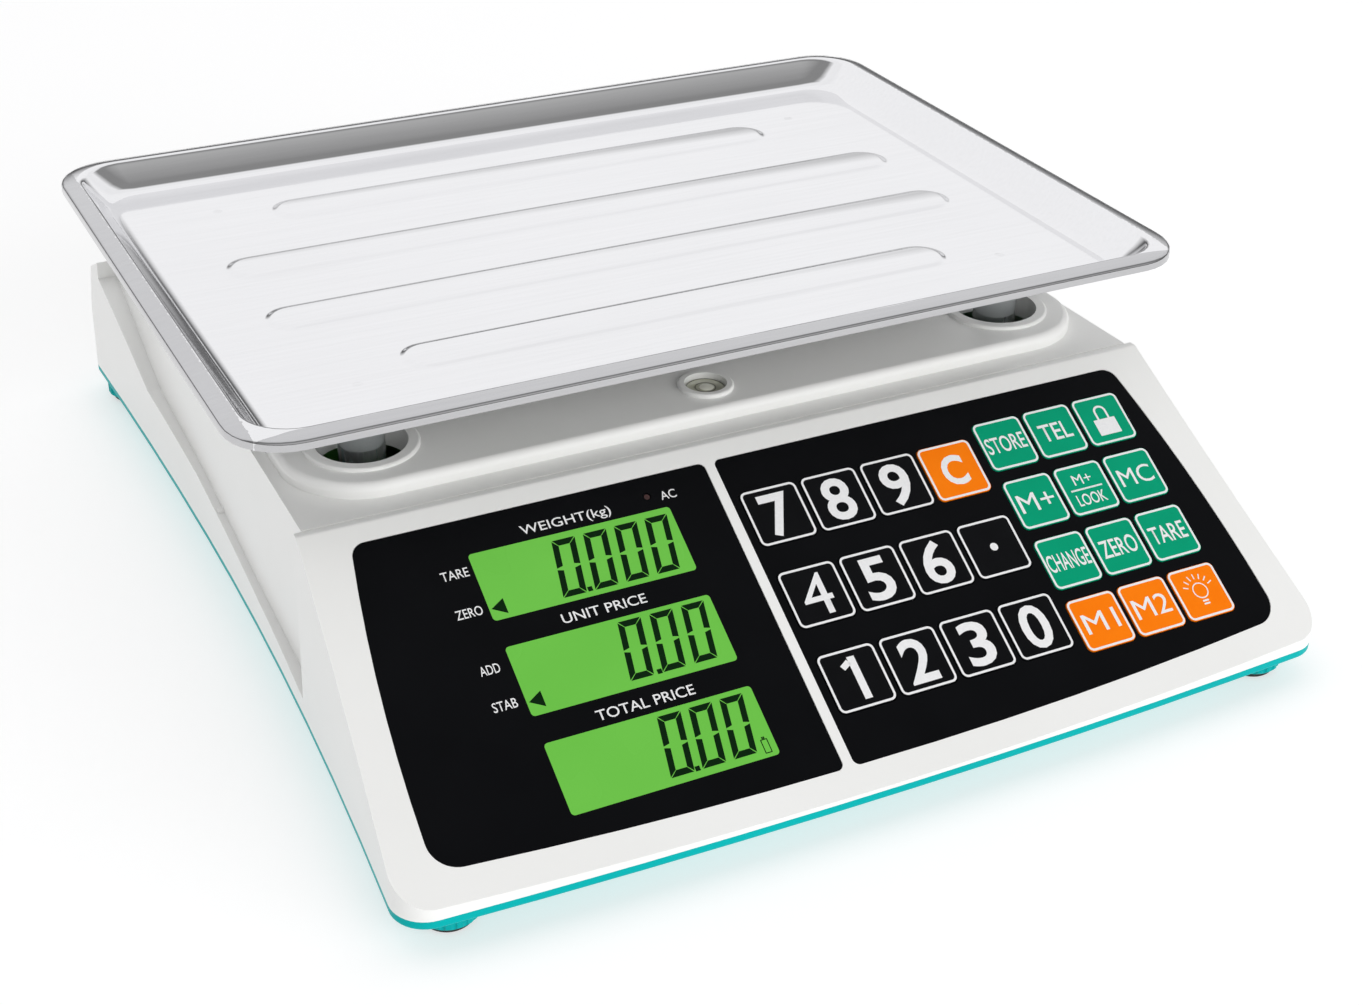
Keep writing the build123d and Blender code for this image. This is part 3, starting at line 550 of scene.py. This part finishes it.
# ---- Lit displays: green backlit glass behind the sheet's clear windows. The figures
# are leaning seven-segment noughts with a point, and a pointer beside each label.
lit_glass = Finish("lit_glass", Specular_IOR_Level=0.15, Emission_Strength=0.46)
spread = lit_glass.noise(30.0, 2.0)
lit_glass.feed("Base Color", lit_glass.mix(spread, tint(0.070, 0.260, 0.030),
                                           tint(0.085, 0.300, 0.038)))
lit_glass.feed("Emission Color", lit_glass.mix(spread, tint(0.145, 0.54, 0.062),
                                               tint(0.180, 0.60, 0.080)))
lit_glass.feed("Roughness", spread * 0.1 + 0.22)
dress(lit_glass, "front_lcd_modules", "rear_lcd_modules")

dark_segment = Finish("dark_segment", Specular_IOR_Level=0.05)
dark_segment.feed("Base Color", dark_segment.mix(dark_segment.noise(600.0),
                                                 tint(0.002, 0.014, 0.003),
                                                 tint(0.004, 0.022, 0.005)))
dark_segment.feed("Roughness", dark_segment.noise(800.0) * 0.1 + 0.3)

WINDOW_WIDTH, WINDOW_HEIGHT, WINDOW_CORNER = 0.0672, 0.0231, 0.0012
WINDOW_LEFT, POINTER_X = -0.1052, -0.1015
GLASS = 0.00006
DIGIT_HEIGHT, DIGIT_WIDTH, STROKE = 0.0192, 0.0077, 0.0020
LEAN = 0.175
# Room left beside a bar that lies across a figure, and above and below one that stands.
GAP_ACROSS, GAP_UP = 0.0004, 0.0005
# How far a bar's inner corner is cut back, in strokes: where it meets another at the
# figure's corner, and at the figure's waist.
MITRE, BUTT = 0.95, 0.25
POINT_SIZE, POINTER_SIZE = 0.0011, 0.0030


def put_bar(bm, length, middle, turn, cuts):
    """One display segment, with the corner on the figure's inner side cut at each end."""
    made = bmesh.ops.create_grid(bm, x_segments=1, y_segments=1, size=0.5)["verts"]
    bmesh.ops.scale(bm, vec=(length, STROKE, 1.0), verts=made)
    for end, cut in zip((-1, 1), cuts):
        corner = [vert for vert in made if vert.co.y < 0 < vert.co.x * end]
        bmesh.ops.translate(bm, vec=(-end * cut * STROKE, 0.0, 0.0), verts=corner)
    bmesh.ops.rotate(bm, cent=(0, 0, 0), matrix=Matrix.Rotation(turn, 3, "Z"), verts=made)
    bmesh.ops.translate(bm, vec=(middle[0], middle[1], 0.0), verts=made)


def put_nought(bm, left, top):
    """A leaning 0 whose top left corner stands at a place on the glass."""
    part = bmesh.new()
    high, wide = DIGIT_HEIGHT / 2 - STROKE / 2, DIGIT_WIDTH / 2 - STROKE / 2
    for half, turn in ((1, 0.0), (-1, pi)):
        put_bar(part, DIGIT_WIDTH - GAP_ACROSS, (0.0, half * high), turn, (MITRE, MITRE))
        for side in (-1, 1):
            put_bar(part, DIGIT_HEIGHT / 2 - GAP_UP, (side * wide, half * DIGIT_HEIGHT / 4),
                    -side * pi / 2, (MITRE, BUTT) if side * half > 0 else (BUTT, MITRE))
    part.transform(Matrix.Translation((left + DIGIT_WIDTH / 2 - LEAN * DIGIT_HEIGHT / 2,
                                       -top - DIGIT_HEIGHT / 2, 0.0))
                   @ Matrix(((1, LEAN, 0, 0), (0, 1, 0, 0), (0, 0, 1, 0), (0, 0, 0, 1))))
    pour(part, bm)


def put_dot(bm, x, s, size, sides=4, turn=pi / 4):
    """A filled mark with equal sides: a square point, or a pointer with three sides."""
    place = Matrix.Translation((x, -s, 0.0)) @ Matrix.Rotation(turn, 4, "Z")
    bmesh.ops.create_circle(bm, cap_ends=True, segments=sides, radius=size, matrix=place)


def lit_window(name, place, left, top, digits, digit_top, point, pointer=None):
    """A lit pane level with the sheet and the dark figures on it, as two pieces."""
    pane = bmesh.new()
    edges = rounded_loop(pane, WINDOW_WIDTH, WINDOW_HEIGHT, WINDOW_CORNER,
                         (left + WINDOW_WIDTH / 2, -top - WINDOW_HEIGHT / 2, SHEET_FACE), 4)
    bmesh.ops.contextual_create(pane, geom=edges)
    lift(pane, pane.faces[:], GLASS)
    pane.transform(place)
    glass = piece("lit_pane_" + name, pane, lit_glass, "housing")
    figures = bmesh.new()
    for x in digits:
        put_nought(figures, x, digit_top)
    put_dot(figures, *point, POINT_SIZE)
    if pointer:
        put_dot(figures, *pointer, POINTER_SIZE, 3, pi / 2)
    bmesh.ops.translate(figures, vec=(0.0, 0.0, SHEET_FACE + GLASS), verts=figures.verts)
    lift(figures, figures.faces[:], INK)
    figures.transform(place)
    piece("figures_" + name, figures, dark_segment, "housing")


# Each window's place and top, its figures' left ends and top, its point and its pointer.
lit_window("weight", panel, WINDOW_LEFT, 0.0185, (-0.0788, -0.0683, -0.0579, -0.0475), 0.0207,
           (-0.0731, 0.0391), (POINTER_X, 0.0376))
lit_window("unit_price", panel, WINDOW_LEFT, 0.0506, (-0.0694, -0.0588, -0.0482), 0.0520,
           (-0.0630, 0.0706), (POINTER_X, 0.0691))
lit_window("total_price", panel, WINDOW_LEFT, 0.0826, (-0.0697, -0.0594, -0.0491), 0.0842,
           (-0.0642, 0.1028))


def put_outline(bm, centre, width, length, radius, line, thick, steps=4):
    """A printed outline: two rounded rectangles bridged and given the ink's thickness."""
    part = bmesh.new()
    place = (centre[0], -centre[1], centre[2])
    edges = rounded_loop(part, width, length, radius, place, steps)
    edges += rounded_loop(part, width - 2 * line, length - 2 * line, max(radius - line, 0.00005),
                          place, steps)
    bmesh.ops.bridge_loops(part, edges=edges)
    lift(part, part.faces[:], thick)
    pour(part, bm)


BATTERY_X, BATTERY_LINE = -0.0412, 0.0003
battery_mark = bmesh.new()
# The battery's case, then the small cap on its top end: middle, width, length, corner.
for middle, width, length, corner in ((0.1022, 0.0023, 0.0046, 0.0002),
                                      (0.0995, 0.0010, 0.0007, 0.0001)):
    put_outline(battery_mark, (BATTERY_X, middle, SHEET_FACE + GLASS), width, length, corner,
                BATTERY_LINE, INK)
battery_mark.transform(panel)
piece("battery_mark", battery_mark, dark_segment, "housing")


# ---- Keypad sheet: the same black printed film in a satin finish, with a hole for each
# key. It lies in the panel's right recess.
satin_sheet = Finish("satin_sheet", Specular_IOR_Level=0.05)
waves = satin_sheet.noise(40.0, 3.0)
satin_sheet.feed("Base Color", satin_sheet.mix(waves, tint(0.0022, 0.0024, 0.0030),
                                               tint(0.0042, 0.0045, 0.0055)))
satin_sheet.feed("Roughness", waves * 0.1 + 0.36)
satin_sheet.relief(satin_sheet.noise(1500.0, 2.0) * 0.3 + waves, 0.00006, 0.4)
dress(satin_sheet, "keypad_overlay")


# ---- Keys: 24 printed caps, each on the plunger of its own switch. Figures are black,
# functions green, and clear, presets and light are orange, all outlined in white.
KEY_FACE = 0.0001


def key_print(name, deep, light):
    """The printed film on one colour of key: fine grain over a slight waviness."""
    film = Finish(name, Specular_IOR_Level=0.07)
    wear = film.noise(120.0, 4.0)
    film.feed("Base Color", film.mix(wear, deep, light))
    film.feed("Roughness", film.noise(45.0, 2.0) * 0.14 + 0.34)
    film.relief(film.noise(1500.0, 2.0) * 0.3 + film.noise(55.0, 2.0), 0.00008, 0.45)
    return film


black_key = key_print("black_key", tint(0.0022, 0.0024, 0.0030), tint(0.0046, 0.0049, 0.0060))
green_key = key_print("green_key", tint(0.0, 0.305, 0.155), tint(0.0, 0.355, 0.185))
orange_key = key_print("orange_key", tint(0.97, 0.185, 0.0), tint(1.0, 0.235, 0.004))

DIGIT_SIZE, DIGIT_ACROSS, DIGIT_DOWN = 0.02025, 0.02195, 0.02985
DIGIT_LEFT, DIGIT_TOP = -0.00435, 0.0301
FUNCTION_SIZE, FUNCTION_ACROSS, FUNCTION_DOWN = 0.0186, 0.02015, 0.0230
FUNCTION_LEFT, FUNCTION_TOP = 0.0845, 0.0251
OUTLINE_MARGIN, OUTLINE_CORNER, OUTLINE = 0.0004, 0.0021, 0.00075
FIGURE_WIDTH, FIGURE_HEIGHT = 0.0102, 0.0146
# The 1 is a stem, right of the key's middle, with a short flag turned against its top.
STEM_RIGHT, STEM_WIDTH = 0.0010, 0.0026
FLAG_LEFT, FLAG_UP, FLAG_WIDTH, FLAG_HEIGHT, FLAG_TURN = 0.0016, 0.0049, 0.0020, 0.0032, -1.05
POINT_SIDE, POINT_CORNER = 0.0028, 0.00138
# The lock is a filled body over the lower end of its shackle, which is a long outline.
SHACKLE_UP, SHACKLE_WIDTH, SHACKLE_HEIGHT = 0.0014, 0.0050, 0.0082
SHACKLE_CORNER, SHACKLE_LINE = 0.0024, 0.0008
LOCK_DOWN, LOCK_WIDTH, LOCK_HEIGHT = 0.0029, 0.0086, 0.0062
# The lamp sign: a ring, two bars for its cap below and rays that stand off its middle.
BULB_UP, BULB_OUTER, BULB_INNER = 0.0004, 0.0029, 0.0025
CAP_ROWS, CAP_WIDTH, CAP_HEIGHT = (0.0034, 0.0045), 0.0024, 0.0006
RAY_OUT, RAY_WIDTH, RAY_HEIGHT, RAY_STEP = 0.0052, 0.0004, 0.0019, pi / 8
FIGURES = [("7", "8", "9", "clear"), ("4", "5", "6", "point"), ("1", "2", "3", "0")]
FUNCTIONS = [("store", "tel", "lock"), ("memory_add", "memory_look", "memory_clear"),
             ("change", "zero", "tare"), ("m1", "m2", "light")]
# Line of print, half its width, middle above the key's centre and capital height, in mm.
LEGENDS = {"clear": [("C", 4.4, 0.0, 10.4)],
           "store": [("STORE", 7.6, 0.0, 6.0)], "tel": [("TEL", 6.0, 0.0, 6.6)],
           "memory_add": [("M+", 6.9, 0.0, 7.0)],
           "memory_look": [("M+", 3.6, 3.6, 3.9), ("LOOK", 5.6, -4.0, 4.2)],
           "memory_clear": [("MC", 6.6, 0.0, 6.6)],
           "change": [("CHANGE", 8.0, 0.0, 6.2)], "zero": [("ZERO", 7.0, 0.0, 6.4)],
           "tare": [("TARE", 7.0, 0.0, 6.4)], "m1": [("M1", 6.4, 0.0, 7.2)],
           "m2": [("M2", 6.8, 0.0, 7.2)]}


def put_plate(bm, x, s, width, length, radius=0.00025):
    """A filled patch of print with rounded corners."""
    part = bmesh.new()
    edges = rounded_loop(part, width, length, radius, (x, -s, KEY_FACE), 5)
    bmesh.ops.contextual_create(part, geom=edges)
    lift(part, part.faces[:], INK)
    pour(part, bm)


def put_stroke(bm, x, s, wide, high, turn):
    """A straight stroke of print, turned about its middle."""
    part = bmesh.new()
    place = (Matrix.Translation((x, -s, KEY_FACE)) @ Matrix.Rotation(turn, 4, "Z")
             @ Matrix.Diagonal((wide, high, 1.0, 1.0)))
    bmesh.ops.create_grid(part, x_segments=1, y_segments=1, size=0.5, matrix=place)
    lift(part, part.faces[:], INK)
    pour(part, bm)


def put_bulb(bm, x, s):
    """A lamp bulb with its cap and seven rays."""
    flat_ring(bm, (x, -s + BULB_UP, KEY_FACE), BULB_OUTER, BULB_INNER, INK, 24)
    for row in CAP_ROWS:
        put_plate(bm, x, s + row, CAP_WIDTH, CAP_HEIGHT)
    for step in range(-3, 4):
        part = bmesh.new()
        made = bmesh.ops.create_grid(part, x_segments=1, y_segments=1, size=0.5)["verts"]
        bmesh.ops.scale(part, vec=(RAY_WIDTH, RAY_HEIGHT, 1.0), verts=made)
        bmesh.ops.translate(part, vec=(0.0, RAY_OUT, 0.0), verts=made)
        bmesh.ops.rotate(part, cent=(0, 0, 0), matrix=Matrix.Rotation(step * RAY_STEP, 3, "Z"),
                         verts=made)
        bmesh.ops.translate(part, vec=(x, -s + BULB_UP, KEY_FACE), verts=made)
        lift(part, part.faces[:], INK)
        pour(part, bm)


def legend(name, x, s, size):
    """The white print of one key: its outline and its figure, word or sign."""
    ink = bmesh.new()
    put_outline(ink, (x, s, KEY_FACE), size - OUTLINE_MARGIN, size - OUTLINE_MARGIN,
                OUTLINE_CORNER, OUTLINE, INK, 6)
    if name == "1":
        put_stroke(ink, x + STEM_RIGHT, s, STEM_WIDTH, FIGURE_HEIGHT, 0.0)
        put_stroke(ink, x - FLAG_LEFT, s - FLAG_UP, FLAG_WIDTH, FLAG_HEIGHT, FLAG_TURN)
    elif name.isdigit():
        put_print(ink, name, x - FIGURE_WIDTH / 2, x + FIGURE_WIDTH / 2, s, FIGURE_HEIGHT,
                  KEY_FACE, 0.0 if name == "4" else 0.02)
    for text, half, above, capital in LEGENDS.get(name, []):
        bold = 0.0 if "M" in text else 0.03 if name == "clear" else 0.008
        put_print(ink, text, x - 0.001 * half, x + 0.001 * half, s - 0.001 * above,
                  0.001 * capital, KEY_FACE, bold)
    if name == "memory_look":
        put_outline(ink, (x, s + 0.0001, KEY_FACE), 0.0125, 0.0006, 0.0001, 0.00028, INK, 2)
    if name == "point":
        put_plate(ink, x, s, POINT_SIDE, POINT_SIDE, POINT_CORNER)
    if name == "lock":
        put_outline(ink, (x, s - SHACKLE_UP, KEY_FACE - INK / 4), SHACKLE_WIDTH, SHACKLE_HEIGHT,
                    SHACKLE_CORNER, SHACKLE_LINE, INK, 6)
        put_plate(ink, x, s + LOCK_DOWN, LOCK_WIDTH, LOCK_HEIGHT)
    if name == "light":
        put_bulb(ink, x, s)
    ink.transform(panel)
    piece("legend_" + name, ink, white_ink, "button_" + name)


for j, row in enumerate(FIGURES):
    for i, name in enumerate(row):
        legend(name, DIGIT_LEFT + i * DIGIT_ACROSS, DIGIT_TOP + j * DIGIT_DOWN, DIGIT_SIZE)
        dress(orange_key if name == "clear" else black_key, "key_" + name)
for j, row in enumerate(FUNCTIONS):
    for i, name in enumerate(row):
        legend(name, FUNCTION_LEFT + i * FUNCTION_ACROSS, FUNCTION_TOP + j * FUNCTION_DOWN,
               FUNCTION_SIZE)
        dress(orange_key if name in ("m1", "m2", "light") else green_key, "key_" + name)


# ---- Customer's display: the same lit glass behind a black strip in the rear face, with
# the three labels printed above.
REAR_TILT = radians(16.0)
REAR_Y, REAR_Z = 0.1795, 0.0573
REAR_PITCH = 0.082
REAR_WINDOW_TOP, REAR_DIGIT_TOP = 0.0154, 0.0172
REAR_POINT_RIGHT, REAR_POINT_DOWN = 0.0058, 0.0358
REAR_LABEL_DOWN, REAR_LABEL_HEIGHT = 0.0115, 0.0030
# Word, its middle and half its width, in mm.
REAR_LABELS = (("WEIGHT(kg)", -82.0, 14.0), ("UNIT PRICE", 0.0, 13.0), ("TOTAL PRICE", 82.0, 15.0))
# Left ends of the figures' places in mm; the first is used by the weight alone.
REAR_COLUMNS = (-6.2, 4.2, 14.6, 25.0)
# The same kind of plane on the rear face, with x to the right of someone who reads it.
rear = Matrix(((-1.0, 0.0, 0.0, 0.0),
               (0.0, -sin(REAR_TILT), cos(REAR_TILT), REAR_Y),
               (0.0, cos(REAR_TILT), sin(REAR_TILT), REAR_Z),
               (0.0, 0.0, 0.0, 1.0)))
for name, shift in (("weight", -REAR_PITCH), ("unit_price", 0.0), ("total_price", REAR_PITCH)):
    columns = [shift + 0.001 * at for at in REAR_COLUMNS[0 if name == "weight" else 1:]]
    lit_window("rear_" + name, rear, shift - WINDOW_WIDTH / 2, REAR_WINDOW_TOP, columns,
               REAR_DIGIT_TOP, (columns[0] + REAR_POINT_RIGHT, REAR_POINT_DOWN))
rear_labels = bmesh.new()
for text, shift, half in REAR_LABELS:
    put_print(rear_labels, text, 0.001 * (shift - half), 0.001 * (shift + half),
              REAR_LABEL_DOWN, REAR_LABEL_HEIGHT, SHEET_FACE)
rear_labels.transform(rear)
piece("rear_labels", rear_labels, white_ink, "housing")


# ---- Mains inlet and power switch: black heat-proof mouldings snapped into the right
# wall. The rocker turns on a pin in the switch body.
black_nylon = moulded("black_nylon", tint(0.014, 0.014, 0.015), tint(0.024, 0.024, 0.025), 0.42,
                      0.00004)
dress(black_nylon, "mains_inlet", "power_switch_body")
rocker_gloss = moulded("rocker_gloss", tint(0.012, 0.012, 0.013), tint(0.020, 0.020, 0.021), 0.22,
                       0.00001, 0.4)
dress(rocker_gloss, "power_rocker")


# ---- Boards, switches and power parts inside: green boards with copper tracks, black
# switch cans, a sealed battery and a laminated transformer.
board = Finish("board", Specular_IOR_Level=0.5, Coat_Weight=0.3, Coat_Roughness=0.2)
tracks = board.add("TexBrick", {}, {"Vector": board.place(), "Scale": 160.0, "Mortar Size": 0.03,
                                    "Color1": tint(1, 1, 1), "Color2": tint(1, 1, 1),
                                    "Mortar": tint(0, 0, 0)})
board.feed("Base Color", board.mix(tracks, tint(0.05, 0.30, 0.10), tint(0.012, 0.14, 0.045)))
board.feed("Roughness", board.noise(200.0) * 0.2 + 0.3)
board.relief(tracks, 0.00004)
dress(board, "front_display_board", "keypad_board", "main_board")

case_black = moulded("case_black", tint(0.03, 0.03, 0.032), tint(0.05, 0.05, 0.052), 0.5, 0.00005)
dress(case_black, "key_switches", "battery")

laminations = Finish("laminations", Metallic=0.6)
leaves = laminations.add("TexWave", {"bands_direction": "Z"},
                         {"Vector": laminations.place(), "Scale": 400.0, "Distortion": 0.2})
laminations.feed("Base Color", laminations.mix(leaves, tint(0.16, 0.16, 0.17),
                                               tint(0.32, 0.31, 0.30)))
laminations.feed("Roughness", laminations.noise(150.0) * 0.2 + 0.4)
laminations.relief(leaves, 0.00008)
dress(laminations, "transformer")
